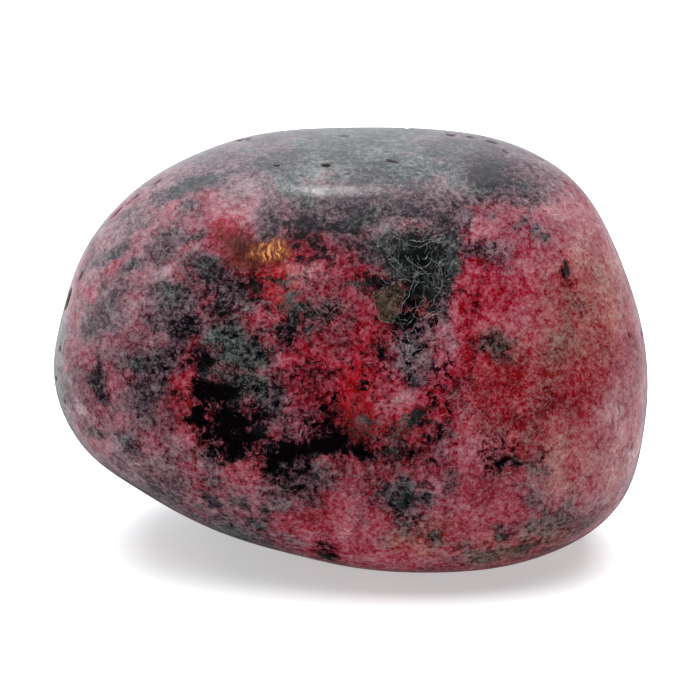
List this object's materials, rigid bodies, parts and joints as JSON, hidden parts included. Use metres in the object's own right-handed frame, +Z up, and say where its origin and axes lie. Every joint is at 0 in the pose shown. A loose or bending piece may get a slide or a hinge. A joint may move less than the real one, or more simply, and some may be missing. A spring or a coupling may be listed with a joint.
{
  "type": "rhodonite freeform",
  "caption": "Polished freeform stone of pink and crimson rhodonite with black patches, rounded on every side and ground flat below so that it stands on a shelf or desk.",
  "frame": {"origin": "on the standing surface, under the middle of the stone's box", "axes": "+Z up, +X along the stone's length towards its right end, -Y out of the broad front face"},
  "size_m": [0.0652, 0.0404, 0.0454],
  "materials": {
    "polished_rhodonite": "polished to a satin gloss, with small unpolished pits"
  },
  "bodies": {
    "root": {"stone": "polished_rhodonite"}
  },
  "joints": []
}
